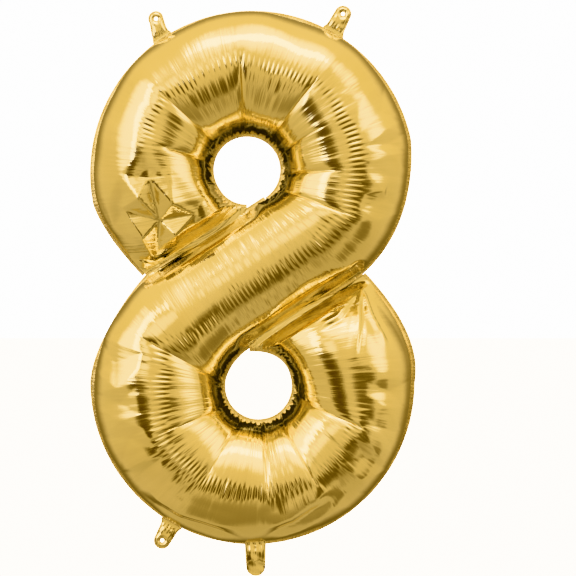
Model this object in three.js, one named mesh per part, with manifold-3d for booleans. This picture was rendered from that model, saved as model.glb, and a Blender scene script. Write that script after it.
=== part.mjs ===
// A foil number balloon in the shape of an 8, inflated and hanging upright, in millimetres with +Z up.
//
// The figure is one long S-shaped gas tube. It starts at the upper waist weld, goes round the upper hole,
// crosses the middle as a diagonal, goes round the lower hole and ends at the lower waist weld. A front and
// a rear foil panel are welded together along every edge of that tube. Three hang tabs and an inflation neck
// are welded foil too, each bending at its root. The neck holds a flat valve of two films, whose lips reach
// into the tube.
//
// The front faces -Y. The welds lie in the plane y = 0. The figure is drawn around its own centre, and the
// last group moves it so that the hang hole of the top right tab is the origin.
import * as THREE from 'three';
import Module from 'manifold-3d';
import { mergeVertices } from 'three/addons/utils/BufferGeometryUtils.js';

const wasm = await Module();
wasm.setup();

// ---- Driving dimensions ----

const FILM = 0.6; // thickness that stands for each ply of foil
const WELD_THICKNESS = 1.0; // two plies fused into one flat band
const PLY_FACE = 0.8; // a ply's inner face, from the plane of the welds
const FLANGE = 5; // width of the flat weld outside the inflated part
const LAP = 2.5; // how far the weld reaches in between the two panels
const PIECE_GAP = 0.4; // slot that parts one weld from the next

const UPPER = { centre: [-1.1, 164.9], radius: 251.4, hole: [-9.5, 169.6], holeRadius: 57 };
const LOWER = { centre: [-0.8, -164.9], radius: 251.4, hole: [8.7, -171.2], holeRadius: 57 };

const DIAGONAL_DEG = 33; // slope of the middle stretch and of both waist welds
const DIAGONAL_TOP = 92.9; // its upper edge, measured across the slope from the centre
const DIAGONAL_BOTTOM = -85.8; // its lower edge, measured the same way
const WAIST_WELD = 5; // width of weld left between two stretches of tube that lie side by side

const FULLNESS = 0.95; // half depth of the tube as a share of half its width
const END_TAPER = 115; // length over which each end of the tube closes to its weld

const RIB_STEPS = 10; // faces across a panel
const RIBS_PER_METRE = 62;

const VALVE = { width: 24, film: 0.3, face: 0.15, lipLength: 74 };
const NECK = { width: 34, length: 54, cut: 30, edge: 4, deg: 271 };
const TAB_BEND = 1.5; // free space at the root of a tab, with the bend line in its middle
const NECK_BEND = 2.4; // the same at the root of the neck
const TAB_HOLE = 3; // radius of the punched hang holes

// deg is the tab's place round its loop, lean its tilt away from straight outwards.
const TABS = [
  { name: 'top_left_hang_tab', loop: UPPER, deg: 123.7, lean: 16, width: 27, length: 42 },
  { name: 'top_right_hang_tab', loop: UPPER, deg: 60.1, lean: -2, width: 29, length: 45 },
  { name: 'bottom_left_hang_tab', loop: LOWER, deg: 240.2, lean: -1, width: 29, length: 44 },
];

// ---- Materials ----

const foil = new THREE.MeshStandardMaterial({ color: 0xd9a93a, roughness: 0.16, metalness: 1 });
const weldedFoil = new THREE.MeshStandardMaterial({ color: 0xc4952f, roughness: 0.28, metalness: 1 });
const valveFilm = new THREE.MeshStandardMaterial({ color: 0xe9e6dc, roughness: 0.35, metalness: 0 });

// ---- Plane curves. Points are THREE.Vector2 with x across the figure and y up it ----

const radians = THREE.MathUtils.degToRad;
const v2 = (x, y) => new THREE.Vector2(x, y);
const along = v2(Math.cos(radians(DIAGONAL_DEG)), Math.sin(radians(DIAGONAL_DEG)));
const across = v2(-along.y, along.x);

const polar = ([x, y], radius, deg) =>
  v2(x + radius * Math.cos(radians(deg)), y + radius * Math.sin(radians(deg)));

const arc = (centre, radius, fromDeg, toDeg) => (t) =>
  polar(centre, radius, THREE.MathUtils.lerp(fromDeg, toDeg, t));

const line = (a, b) => (t) => a.clone().lerp(b, t);

const bend = (...points) => {
  const Curve = points.length === 3 ? THREE.QuadraticBezierCurve : THREE.CubicBezierCurve;
  const curve = new Curve(...points);
  return (t) => curve.getPoint(t);
};

// A point given by its place along the diagonal and its distance across it.
const onDiagonal = (alongMm, acrossMm) =>
  along.clone().multiplyScalar(alongMm).addScaledVector(across, acrossMm);

// ---- The tube's two edges, stretch by stretch from the upper waist weld to the lower one ----

const upperHole = (from, to) => arc(UPPER.hole, UPPER.holeRadius, from, to);
const lowerHole = (from, to) => arc(LOWER.hole, LOWER.holeRadius, from, to);
const upperRim = (from, to) => arc(UPPER.centre, UPPER.radius, from, to);
const lowerRim = (from, to) => arc(LOWER.centre, LOWER.radius, from, to);

const upperTip = onDiagonal(52, DIAGONAL_TOP + WAIST_WELD);
const upperNotch = onDiagonal(-140, DIAGONAL_TOP + WAIST_WELD);
const lowerTip = onDiagonal(-66, DIAGONAL_BOTTOM - WAIST_WELD);
const lowerNotch = onDiagonal(148, DIAGONAL_BOTTOM - WAIST_WELD);

// Places along the diagonal where its edges meet the curves at each end.
const TOP_EDGE_START = 84.4;
const TOP_EDGE_END = -132;
const BOTTOM_EDGE_START = 142.5;
const BOTTOM_EDGE_END = -60;
// Square ribs just past each hole keep the middle of the diagonal a plain tube.
const MIDDLE_START = 48;
const MIDDLE_END = -60;

const topEdge = (from, to) => line(onDiagonal(from, DIAGONAL_TOP), onDiagonal(to, DIAGONAL_TOP));
const bottomEdge = (from, to) => line(onDiagonal(from, DIAGONAL_BOTTOM), onDiagonal(to, DIAGONAL_BOTTOM));

// right and left are the edges on either hand when walking down the tube.
const STRETCHES = [
  {
    right: bend(upperTip, v2(-45.3, 111.5), polar(UPPER.hole, UPPER.holeRadius, 205)),
    left: bend(upperNotch, v2(-231, 69), polar(UPPER.centre, UPPER.radius, 191)),
  },
  { right: upperHole(205, 90), left: upperRim(191, 90) },
  { right: upperHole(90, 5), left: upperRim(90, 12) },
  {
    right: upperHole(5, -57),
    left: bend(
      polar(UPPER.centre, UPPER.radius, 12),
      v2(249, 162),
      v2(240.5, 68),
      onDiagonal(BOTTOM_EDGE_START, DIAGONAL_BOTTOM),
    ),
  },
  { right: topEdge(TOP_EDGE_START, MIDDLE_START), left: bottomEdge(BOTTOM_EDGE_START, MIDDLE_START) },
  { right: topEdge(MIDDLE_START, MIDDLE_END), left: bottomEdge(MIDDLE_START, MIDDLE_END) },
  {
    right: topEdge(MIDDLE_END, TOP_EDGE_END),
    left: bend(
      onDiagonal(BOTTOM_EDGE_END, DIAGONAL_BOTTOM),
      onDiagonal(-98.9, DIAGONAL_BOTTOM),
      polar(LOWER.hole, LOWER.holeRadius, 165),
    ),
  },
  {
    right: bend(
      onDiagonal(TOP_EDGE_END, DIAGONAL_TOP),
      v2(-200, -35.5),
      v2(-249, -112),
      polar(LOWER.centre, LOWER.radius, 180),
    ),
    left: lowerHole(165, 187),
  },
  { right: lowerRim(180, 270), left: lowerHole(187, 270) },
  { right: lowerRim(270, 360), left: lowerHole(270, 376) },
  {
    right: bend(polar(LOWER.centre, LOWER.radius, 360), v2(260, -115), v2(231, -57), lowerNotch),
    left: bend(polar(LOWER.hole, LOWER.holeRadius, 376), v2(59, -133), v2(40, -110), lowerTip),
  },
];

// The ribs: pairs of edge points, evenly spaced along the middle of the tube.
function makeRibs() {
  const ribs = [];
  STRETCHES.forEach(({ right, left }, index) => {
    const middle = (t) => right(t).lerp(left(t), 0.5);
    let length = 0;
    for (let i = 0; i < 16; i++) length += middle(i / 16).distanceTo(middle((i + 1) / 16));
    const count = Math.max(3, Math.round((length / 1000) * RIBS_PER_METRE));
    for (let i = index ? 1 : 0; i <= count; i++) {
      ribs.push({ right: right(i / count), left: left(i / count) });
    }
  });
  let place = 0;
  ribs.forEach((rib, i) => {
    rib.middle = rib.right.clone().lerp(rib.left, 0.5);
    if (i) place += rib.middle.distanceTo(ribs[i - 1].middle);
    rib.place = place;
  });
  return ribs;
}

const ribs = makeRibs();
const tubeLength = ribs.at(-1).place;

// Half the tube's depth at a rib: nearly round in section, closing to nothing at both end welds.
function halfDepth(rib) {
  const fromEnd = Math.min(rib.place, tubeLength - rib.place);
  const closing = Math.max(0, 1 - fromEnd / END_TAPER);
  return (FULLNESS * rib.right.distanceTo(rib.left) * Math.sqrt(1 - closing * closing)) / 2;
}

// ---- Panels ----

const columns = ribs.length;
const rows = RIB_STEPS + 1;
const at = (i, j) => i * rows + j;

// The outer face of a panel as a grid of points. side is -1 for the front and +1 for the rear.
function panelPoints(side) {
  return ribs.flatMap((rib) =>
    Array.from({ length: rows }, (_, j) => {
      const angle = (Math.PI * j) / RIB_STEPS;
      const point = rib.right.clone().lerp(rib.left, (1 - Math.cos(angle)) / 2);
      return new THREE.Vector3(point.x, side * (PLY_FACE + halfDepth(rib) * Math.sin(angle)), point.y);
    }),
  );
}

function gridTriangles() {
  const triangles = [];
  for (let i = 0; i < columns - 1; i++) {
    for (let j = 0; j < rows - 1; j++) {
      const quad = [at(i, j), at(i + 1, j), at(i + 1, j + 1), at(i, j + 1)];
      triangles.push([quad[0], quad[1], quad[2]], [quad[0], quad[2], quad[3]]);
    }
  }
  return triangles;
}

// The grid's border, as directed pairs of points.
function gridRim() {
  const rim = [];
  const lastColumn = columns - 1;
  const lastRow = rows - 1;
  for (let i = 0; i < lastColumn; i++) {
    rim.push([at(i, 0), at(i + 1, 0)]);
    rim.push([at(i + 1, lastRow), at(i, lastRow)]);
  }
  for (let j = 0; j < lastRow; j++) {
    rim.push([at(0, j + 1), at(0, j)]);
    rim.push([at(lastColumn, j), at(lastColumn, j + 1)]);
  }
  return rim;
}

function pointNormals(points, triangles) {
  const normals = points.map(() => new THREE.Vector3());
  for (const [a, b, c] of triangles) {
    const toB = points[b].clone().sub(points[a]);
    const toC = points[c].clone().sub(points[a]);
    const normal = toB.cross(toC);
    for (const k of [a, b, c]) normals[k].add(normal);
  }
  return normals;
}

function onGridRim(k) {
  const i = Math.floor(k / rows);
  const j = k % rows;
  return i === 0 || i === columns - 1 || j === 0 || j === rows - 1;
}

// One foil panel: a thin open shell over the whole tube. Its rim stays flat, so it thickens sideways there.
function panelGeometry(side) {
  const outer = panelPoints(side);
  const sheet = gridTriangles();
  const normals = pointNormals(outer, sheet);
  const facing = Math.sign(normals[at(columns >> 1, rows >> 1)].y) * side;
  const inner = outer.map((point, k) => {
    const normal = normals[k].multiplyScalar(facing);
    if (onGridRim(k)) normal.y = 0;
    return point.clone().addScaledVector(normal.normalize(), -FILM);
  });
  const shift = outer.length;
  const lining = sheet.map(([a, b, c]) => [a + shift, c + shift, b + shift]);
  const edge = gridRim().flatMap(([a, b]) => [
    [b, a, a + shift],
    [b, a + shift, b + shift],
  ]);
  const triangles = [...sheet, ...lining, ...edge];
  const outward = facing > 0 ? triangles : triangles.map(([a, b, c]) => [a, c, b]);
  const geometry = new THREE.BufferGeometry().setFromPoints([...outer, ...inner]);
  geometry.setIndex(outward.flat());
  geometry.computeVertexNormals();
  return geometry;
}

// ---- Flat pieces: outlines in the plane of the welds, given thickness from y0 to y1 ----

function plateGeometry(shape, y0, y1) {
  const settings = { depth: y1 - y0, bevelEnabled: false, curveSegments: 10 };
  const geometry = new THREE.ExtrudeGeometry(shape, settings);
  return geometry.rotateX(Math.PI / 2).translate(0, y1, 0);
}

function toSolid(geometry) {
  const bare = geometry.clone();
  bare.deleteAttribute('normal');
  bare.deleteAttribute('uv');
  const merged = mergeVertices(bare, 1e-4);
  return new wasm.Manifold(
    new wasm.Mesh({
      numProp: 3,
      vertProperties: new Float32Array(merged.attributes.position.array),
      triVerts: new Uint32Array(merged.index.array),
    }),
  );
}

function toGeometry(solid) {
  const { vertProperties, triVerts } = solid.getMesh();
  const geometry = new THREE.BufferGeometry();
  geometry.setAttribute('position', new THREE.BufferAttribute(vertProperties, 3));
  geometry.setIndex(new THREE.BufferAttribute(triVerts, 1));
  geometry.computeVertexNormals();
  return geometry;
}

// Moves each point of a path sideways by offset, to the right hand when walking along it.
function offsetPath(points, offset) {
  return points.map((p, i) => {
    const before = points[Math.max(0, i - 1)];
    const after = points[Math.min(points.length - 1, i + 1)];
    const direction = after.clone().sub(before).normalize();
    return v2(p.x + direction.y * offset, p.y - direction.x * offset);
  });
}

// A flat band along a path, from inside to outside of it.
function bandSolid(points, inside, outside) {
  const shape = new THREE.Shape([...offsetPath(points, inside), ...offsetPath(points, outside).reverse()]);
  return toSolid(plateGeometry(shape, -WELD_THICKNESS / 2, WELD_THICKNESS / 2));
}

// A box cutter centred on a point of the weld plane and turned by deg.
function slot(centre, deg, length, width) {
  const box = new THREE.BoxGeometry(length, 4 * WELD_THICKNESS, width);
  box.rotateY(-radians(deg)).translate(centre.x, 0, centre.y);
  return toSolid(box);
}

// Places along the diagonal where a waist weld meets a hole weld (tip) or the outer welds (notch).
const UPPER_TIP_CUT = 40;
const UPPER_NOTCH_CUT = -128;
const LOWER_TIP_CUT = -54;
const LOWER_NOTCH_CUT = 136;
const NOTCH_SLIT = 28; // length of the slit that parts the two outer welds at each notch
const NOTCH_SLIT_SHIFT = 1; // its distance from the middle of the waist weld, away from the diagonal
const CUT_REACH = 4 * FLANGE; // long enough to cross any weld

// Every weld as one flat net.
function weldNet() {
  const fractions = [0, 0.25, 0.5, 0.75, 1];
  const endPath = ({ right, left }) => fractions.map((t) => line(right, left)(t));
  const rightEdge = ribs.map((rib) => rib.right);
  const leftEdge = ribs.map((rib) => rib.left);
  return bandSolid(rightEdge, -LAP, FLANGE)
    .add(bandSolid(leftEdge, LAP, -FLANGE))
    .add(bandSolid(endPath(ribs[0]), LAP, -FLANGE))
    .add(bandSolid(endPath(ribs.at(-1)), -LAP, FLANGE));
}

// The net cut into its separate runs.
function weldPieces() {
  const weldTop = DIAGONAL_TOP + WAIST_WELD / 2;
  const weldBottom = DIAGONAL_BOTTOM - WAIST_WELD / 2;
  const cutAcross = (place, height) => slot(onDiagonal(place, height), DIAGONAL_DEG, PIECE_GAP, CUT_REACH);
  const slit = (place, height) => slot(onDiagonal(place, height), DIAGONAL_DEG, NOTCH_SLIT, PIECE_GAP);
  const neckRoot = polar(LOWER.centre, LOWER.radius, NECK.deg);
  const cuts = [
    cutAcross(UPPER_TIP_CUT, weldTop),
    cutAcross(UPPER_NOTCH_CUT, weldTop),
    cutAcross(LOWER_TIP_CUT, weldBottom),
    cutAcross(LOWER_NOTCH_CUT, weldBottom),
    slit(UPPER_NOTCH_CUT - NOTCH_SLIT / 2, weldTop + NOTCH_SLIT_SHIFT),
    slit(LOWER_NOTCH_CUT + NOTCH_SLIT / 2, weldBottom - NOTCH_SLIT_SHIFT),
    slot(neckRoot, 0, NECK.width + 2 * PIECE_GAP, 6 * FLANGE),
  ];
  return cuts.reduce((rest, cut) => rest.subtract(cut), weldNet()).decompose();
}

// ---- Tabs, neck and valve: drawn with the bend line as the x axis and +y outwards ----

// A tab's outline: a flared root, straight sides and a round end, leaning to one side.
function tabShape({ width, length, lean }) {
  const flare = width * 0.62;
  const tip = width * 0.46;
  const shift = Math.tan(radians(lean)) * (length - tip);
  const top = length - tip;
  const shape = new THREE.Shape();
  shape.moveTo(-flare, TAB_BEND / 2);
  shape.quadraticCurveTo(-width / 2, 5, shift * 0.35 - width / 2, length * 0.35);
  shape.lineTo(shift - tip, top);
  shape.absarc(shift, top, tip, Math.PI, 0, true);
  shape.lineTo(shift * 0.35 + width / 2, length * 0.35);
  shape.quadraticCurveTo(width / 2, 5, flare, TAB_BEND / 2);
  shape.closePath();
  return { shape, holeAt: v2(shift, top) };
}

function hangTab(tab) {
  const { shape, holeAt } = tabShape(tab);
  const hole = new THREE.Path();
  hole.absarc(holeAt.x, holeAt.y, TAB_HOLE, 0, 2 * Math.PI, false);
  shape.holes.push(hole);
  return plateGeometry(shape, -WELD_THICKNESS / 2, WELD_THICKNESS / 2);
}

// The neck's outline: straight sides, then a round end past the cut.
function neckOutline(length, width) {
  const half = width / 2;
  const shape = new THREE.Shape();
  shape.moveTo(-half, NECK_BEND / 2);
  shape.lineTo(-half * 0.9, length - half * 0.9);
  shape.absarc(0, length - half * 0.9, half * 0.9, Math.PI, 0, true);
  shape.lineTo(half, NECK_BEND / 2);
  shape.closePath();
  return shape;
}

function rectangle(x0, x1, y0, y1) {
  return new THREE.Shape([v2(x0, y0), v2(x1, y0), v2(x1, y1), v2(x0, y1)]);
}

// The rear ply runs to the round end; the front ply stops at the cut, which is where gas goes in.
const neckRear = () => plateGeometry(neckOutline(NECK.length, NECK.width), PLY_FACE, PLY_FACE + FILM);

function neckFront() {
  const whole = plateGeometry(neckOutline(NECK.length, NECK.width), -PLY_FACE - FILM, -PLY_FACE);
  const past = rectangle(-NECK.width, NECK.width, NECK.cut, 2 * NECK.length);
  return toGeometry(toSolid(whole).subtract(toSolid(plateGeometry(past, -5 * PLY_FACE, 0))));
}

// The fused edge of the neck, on its left (-1) or right (+1) side.
function neckEdgeWeld(side) {
  const outline = neckOutline(NECK.length, NECK.width);
  const inside = NECK.width / 2 - NECK.edge;
  const [from, to] = side > 0 ? [inside, NECK.width] : [-NECK.width, -inside];
  const whole = toSolid(plateGeometry(outline, -WELD_THICKNESS / 2, WELD_THICKNESS / 2));
  const strip = rectangle(from, to, 0, NECK.cut + NECK.edge);
  return toGeometry(whole.intersect(toSolid(plateGeometry(strip, -WELD_THICKNESS, WELD_THICKNESS))));
}

// A valve film between two places along the neck's own line, on one side of the channel.
function valveStrip(side, from, to) {
  const strip = rectangle(-VALVE.width / 2, VALVE.width / 2, from, to);
  const near = side * VALVE.face;
  const far = side * (VALVE.face + VALVE.film);
  return plateGeometry(strip, Math.min(near, far), Math.max(near, far));
}

// ---- Assembly ----

function mesh(name, geometry, material) {
  const made = new THREE.Mesh(geometry, material);
  made.name = name;
  return made;
}

// A group whose x axis is the bend line, outside a loop's rim by clear, with +z pointing outwards.
function rootedGroup(loop, deg, clear) {
  const root = polar(loop.centre, loop.radius + clear, deg);
  const group = new THREE.Group();
  group.position.set(root.x, 0, root.y);
  group.rotation.y = radians(90 - deg);
  return group;
}

const figure = new THREE.Group();
figure.add(mesh('front_foil_panel', panelGeometry(-1), foil));
figure.add(mesh('rear_foil_panel', panelGeometry(1), foil));

// Each run of weld is known by a point that only its own box reaches.
const RUNS = [
  ['upper_outer_weld', (box) => box.max.z > 400],
  ['lower_right_outer_weld', (box) => box.max.x > 200],
  ['lower_left_outer_weld', (box) => box.min.x < -200],
  ['upper_hole_weld', (box) => box.max.z > 200],
  ['lower_hole_weld', (box) => box.min.z < -200],
  ['upper_waist_weld', (box) => box.max.z > 50],
  ['lower_waist_weld', () => true],
];
for (const piece of weldPieces()) {
  const geometry = toGeometry(piece);
  geometry.computeBoundingBox();
  const [name] = RUNS.find(([, holds]) => holds(geometry.boundingBox));
  figure.add(mesh(name, geometry, weldedFoil));
}

for (const tab of TABS) {
  const group = rootedGroup(tab.loop, tab.deg, FLANGE + TAB_BEND / 2);
  group.add(mesh(tab.name, hangTab(tab), weldedFoil));
  figure.add(group);
}

const neck = rootedGroup(LOWER, NECK.deg, NECK_BEND / 2);
const tailEnd = NECK.cut - 4;
neck.add(mesh('neck_front_ply', neckFront(), foil));
neck.add(mesh('neck_rear_ply', neckRear(), foil));
neck.add(mesh('neck_left_edge_weld', neckEdgeWeld(-1), weldedFoil));
neck.add(mesh('neck_right_edge_weld', neckEdgeWeld(1), weldedFoil));
neck.add(mesh('valve_front_tail', valveStrip(-1, NECK_BEND / 2, tailEnd), valveFilm));
neck.add(mesh('valve_rear_tail', valveStrip(1, NECK_BEND / 2, tailEnd), valveFilm));
neck.add(mesh('valve_front_lip', valveStrip(-1, -VALVE.lipLength, -NECK_BEND / 2), valveFilm));
neck.add(mesh('valve_rear_lip', valveStrip(1, -VALVE.lipLength, -NECK_BEND / 2), valveFilm));
figure.add(neck);

// The origin is the hang hole of the top right tab.
figure.updateMatrixWorld(true);
const hanger = TABS.find((tab) => tab.name === 'top_right_hang_tab');
const { holeAt } = tabShape(hanger);
const hangHole = rootedGroup(hanger.loop, hanger.deg, FLANGE + TAB_BEND / 2);
hangHole.updateMatrixWorld(true);
const origin = new THREE.Vector3(holeAt.x, 0, holeAt.y).applyMatrix4(hangHole.matrixWorld);
figure.position.copy(origin).negate();

const balloon = new THREE.Group();
balloon.add(figure);
export default balloon;
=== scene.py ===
import math

import bmesh
import bpy
import numpy as np
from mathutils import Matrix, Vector
from mathutils.geometry import delaunay_2d_cdt


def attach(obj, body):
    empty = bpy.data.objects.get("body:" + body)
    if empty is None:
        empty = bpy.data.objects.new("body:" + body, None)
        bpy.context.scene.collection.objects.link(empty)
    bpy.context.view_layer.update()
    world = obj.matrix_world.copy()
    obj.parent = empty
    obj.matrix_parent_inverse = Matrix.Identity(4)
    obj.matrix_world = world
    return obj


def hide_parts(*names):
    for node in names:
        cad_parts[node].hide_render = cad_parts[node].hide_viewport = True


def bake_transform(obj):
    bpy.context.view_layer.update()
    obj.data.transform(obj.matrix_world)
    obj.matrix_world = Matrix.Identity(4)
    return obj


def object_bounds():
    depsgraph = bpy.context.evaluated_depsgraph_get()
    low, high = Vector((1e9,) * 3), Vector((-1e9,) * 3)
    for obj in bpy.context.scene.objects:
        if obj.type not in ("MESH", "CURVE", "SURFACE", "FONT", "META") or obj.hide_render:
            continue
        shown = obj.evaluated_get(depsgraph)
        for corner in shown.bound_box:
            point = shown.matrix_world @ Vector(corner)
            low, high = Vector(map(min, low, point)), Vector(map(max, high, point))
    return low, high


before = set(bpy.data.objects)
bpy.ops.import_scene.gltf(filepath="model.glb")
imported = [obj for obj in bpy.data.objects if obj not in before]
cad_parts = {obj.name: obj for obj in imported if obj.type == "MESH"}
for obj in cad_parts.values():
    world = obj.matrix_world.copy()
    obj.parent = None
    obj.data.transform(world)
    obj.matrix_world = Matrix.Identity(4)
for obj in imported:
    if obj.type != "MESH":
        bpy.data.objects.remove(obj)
CAD_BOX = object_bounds()

# The figure is drawn in millimetres round its own centre, then moved so that the hang hole is the origin.
UPPER = dict(centre=(-1.1, 164.9), radius=251.4, hole=(-9.5, 169.6))
LOWER = dict(centre=(-0.8, -164.9), radius=251.4, hole=(8.7, -171.2))
HOLE_RADIUS = 57.0
SLOPE = math.radians(33)  # of the diagonal stroke
TOP, BOTTOM, WAIST_WELD = 92.9, -85.8, 5.0  # the stroke's edges, and the width of the welds beside it
FULLNESS, END_TAPER, FLANGE = 0.95, 115.0, 5.0  # depth over width, length of the closing ends, width of the rim
HANG_HOLE = (141.90981, 415.81957)
PLY_FACE = 0.8  # how far the inner face of a ply stands off the middle plane
TAB_BEND, NECK_BEND, TAB_HOLE = 1.5, 2.4, 3.0  # length of each bend, and the radius of a tab's hole
NECK = dict(width=34.0, length=54.0, cut=30.0, edge=4.0, deg=271.0)  # cut: length of the front ply
ALONG = np.array([math.cos(SLOPE), math.sin(SLOPE)])
ACROSS = np.array([-ALONG[1], ALONG[0]])


# ---- Small helpers ----

def smooth_step(t):
    t = np.clip(t, 0, 1)
    return t * t * (3 - 2 * t)


def step_lengths(p):
    return np.linalg.norm(np.diff(p, axis=0), axis=1)


def run_length(p):
    """The length along a line of points up to each point."""
    return np.concatenate([[0], np.cumsum(step_lengths(p))])


def wander(rng, run, step, low, high):
    """A value that changes slowly along run."""
    knots = np.arange(0, run[-1] + 2 * step, step)
    return np.interp(run, knots, rng.uniform(low, high, len(knots)))


def to_row(x, depth, z):
    """Points of the figure, in millimetres round its centre, in the row frame in metres."""
    return np.stack([x - HANG_HOLE[0], depth, z - HANG_HOLE[1]], -1) / 1000


def grid_quads(index):
    return np.stack([index[:-1, :-1], index[1:, :-1], index[1:, 1:], index[:-1, 1:]], -1).reshape(-1, 4)


def face_outwards(mesh):
    bm = bmesh.new()
    bm.from_mesh(mesh)
    bmesh.ops.recalc_face_normals(bm, faces=bm.faces)
    bm.to_mesh(mesh)
    bm.free()


def new_mesh(name, vertices, faces):
    mesh = bpy.data.meshes.new(name)
    mesh.from_pydata(vertices, [], faces)
    return mesh


def add_object(name, data):
    obj = bpy.data.objects.new(name, data)
    bpy.context.scene.collection.objects.link(obj)
    return obj


def film_object(name, mesh, uv):
    """A smooth object of this mesh, with a place on the film, in metres, for each vertex."""
    mesh.polygons.foreach_set("use_smooth", np.ones(len(mesh.polygons), bool))
    loops = np.empty(len(mesh.loops), int)
    mesh.loops.foreach_get("vertex_index", loops)
    mesh.uv_layers.new(name="film").data.foreach_set("uv", uv[loops].astype(np.float32).ravel())
    mesh.update()
    return add_object(name, mesh)


# ---- The outline of the S-shaped tube ----

def polar(centre, radius, deg):
    a = np.radians(deg)
    return np.stack([centre[0] + radius * np.cos(a), centre[1] + radius * np.sin(a)], -1)


def arc(centre, radius, d0, d1):
    return lambda t: polar(centre, radius, d0 + (d1 - d0) * t)


def diag(s, n):
    return s * ALONG + n * ACROSS


def line(a, b):
    return lambda t: a + (b - a) * t[:, None]


def bend(*points):
    p = [np.asarray(q, float) for q in points]
    n = len(p) - 1
    return lambda t: sum(math.comb(n, i) * ((1 - t) ** (n - i) * t**i)[:, None] * p[i] for i in range(n + 1))


def stretches():
    """The right and the left edge of each stretch of the tube, from the upper waist weld to the lower one."""
    def hole(loop, a, b):
        return arc(loop["hole"], HOLE_RADIUS, a, b)

    def rim(loop, a, b):
        return arc(loop["centre"], loop["radius"], a, b)

    def rim_at(loop, deg):
        return polar(loop["centre"], loop["radius"], deg)

    def top(a, b):
        return line(diag(a, TOP), diag(b, TOP))

    def bottom(a, b):
        return line(diag(a, BOTTOM), diag(b, BOTTOM))

    upper_seam, lower_seam = TOP + WAIST_WELD, BOTTOM - WAIST_WELD
    return [
        (bend(diag(52, upper_seam), (-45.3, 111.5), polar(UPPER["hole"], HOLE_RADIUS, 205)),
         bend(diag(-140, upper_seam), (-231, 69), rim_at(UPPER, 191))),
        (hole(UPPER, 205, 90), rim(UPPER, 191, 90)),
        (hole(UPPER, 90, 5), rim(UPPER, 90, 12)),
        (hole(UPPER, 5, -57), bend(rim_at(UPPER, 12), (249, 162), (240.5, 68), diag(142.5, BOTTOM))),
        (top(84.4, 48), bottom(142.5, 48)),
        (top(48, -60), bottom(48, -60)),
        (top(-60, -132),
         bend(diag(-60, BOTTOM), diag(-98.9, BOTTOM), polar(LOWER["hole"], HOLE_RADIUS, 165))),
        (bend(diag(-132, TOP), (-200, -35.5), (-249, -112), rim_at(LOWER, 180)),
         hole(LOWER, 165, 187)),
        (rim(LOWER, 180, 270), hole(LOWER, 187, 270)),
        (rim(LOWER, 270, 360), hole(LOWER, 270, 376)),
        (bend(rim_at(LOWER, 360), (260, -115), (231, -57), diag(148, lower_seam)),
         bend(polar(LOWER["hole"], HOLE_RADIUS, 376), (59, -133), (40, -110), diag(-66, lower_seam))),
    ]


TURN_START, TURN_LENGTH = 0.42, 0.16  # the part of the tube, in the diagonal, where the hole changes sides


def make_ribs(count):
    """The edge points of each rib and its place along the tube. Ribs are closer where an edge is long."""
    right, left = [], []
    for r, l in stretches():
        t = np.linspace(0, 1, 400)[1 if right else 0:]
        right.append(r(t))
        left.append(l(t))
    right, left = np.concatenate(right), np.concatenate(left)
    mid = step_lengths((right + left) / 2)
    longer = np.maximum(step_lengths(right), step_lengths(left))
    s = np.concatenate([[0], np.cumsum(0.45 * mid + 0.55 * longer)])
    want = np.linspace(0, s[-1], count)
    pick = lambda p: np.stack([np.interp(want, s, p[:, k]) for k in (0, 1)], -1)
    return pick(right), pick(left), np.interp(want, s, np.concatenate([[0], np.cumsum(mid)]))


def from_end(place):
    return np.minimum(place, place[-1] - place)


def turned(place):
    """0 where the right edge of the tube is the one beside a hole, 1 where it is the left edge."""
    return np.clip((place / place[-1] - TURN_START) / TURN_LENGTH, 0, 1)


def from_hole(across, place):
    """Shares of the way across the tube, counted from the edge beside a hole."""
    turn = turned(place)[:, None]
    return across * (1 - turn) + (1 - across) * turn


# ---- Inflation of one film panel: a grid of links that can't stretch, pushed out by the gas ----

SIM_COLUMNS, SIM_ROWS, SIM_STEPS = 640, 40, 400
SPARE_AT_HOLE, SPARE_IN_RING, SPARE_AT_END = 0.34, 0.02, 0.055  # shares of the length along the tube
SLACK_ACROSS, SLACK_AT_END, SLACK_REACH = -0.015, 0.03, 190
GAS_PUSH, DAMPING, TOP_SPEED, STIFFNESS = 0.05, 0.92, 2, 0.04
FOLD_DEPTH = 11.0


def noise_grid(rng, shape, cells):
    """Smooth random bumps of unit size: a cubic B-spline over a coarse grid of cells."""
    a = rng.standard_normal((cells[0] + 3, cells[1] + 3))

    def weights(n, c):
        x = np.linspace(0, c, n)
        i = np.minimum(np.floor(x).astype(int), c - 1)
        f = x - i
        middle = [(3 * f**3 - 6 * f**2 + 4) / 6, (-3 * f**3 + 3 * f**2 + 3 * f + 1) / 6]
        return i, np.stack([(1 - f) ** 3 / 6, *middle, f**3 / 6], -1)

    iu, wu = weights(shape[0], cells[0])
    iv, wv = weights(shape[1], cells[1])
    out = np.zeros(shape)
    for p in range(4):
        for q in range(4):
            out += wu[:, p][:, None] * wv[:, q][None] * a[np.ix_(iu + p, iv + q)]
    return out / out.std()


def grid_normals(x):
    a, b = np.empty_like(x), np.empty_like(x)
    a[1:-1], a[0], a[-1] = x[2:] - x[:-2], x[1] - x[0], x[-1] - x[-2]
    b[:, 1:-1], b[:, 0], b[:, -1] = x[:, 2:] - x[:, :-2], x[:, 1] - x[:, 0], x[:, -1] - x[:, -2]
    n = np.cross(b, a)
    return n / np.maximum(np.linalg.norm(n, axis=2, keepdims=True), 1e-9)


def pull(a, b, rest, squeeze, stretch):
    """Moves the ends of each link towards its rest length, by a share: squeeze if short, stretch if long."""
    d = b - a
    length = np.sqrt(np.einsum("...i,...i", d, d))
    k = np.where(length > rest, stretch, squeeze)
    c = (0.5 * k * (length - rest) / np.maximum(length, 1e-9))[..., None] * d
    a += c
    b -= c


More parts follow.
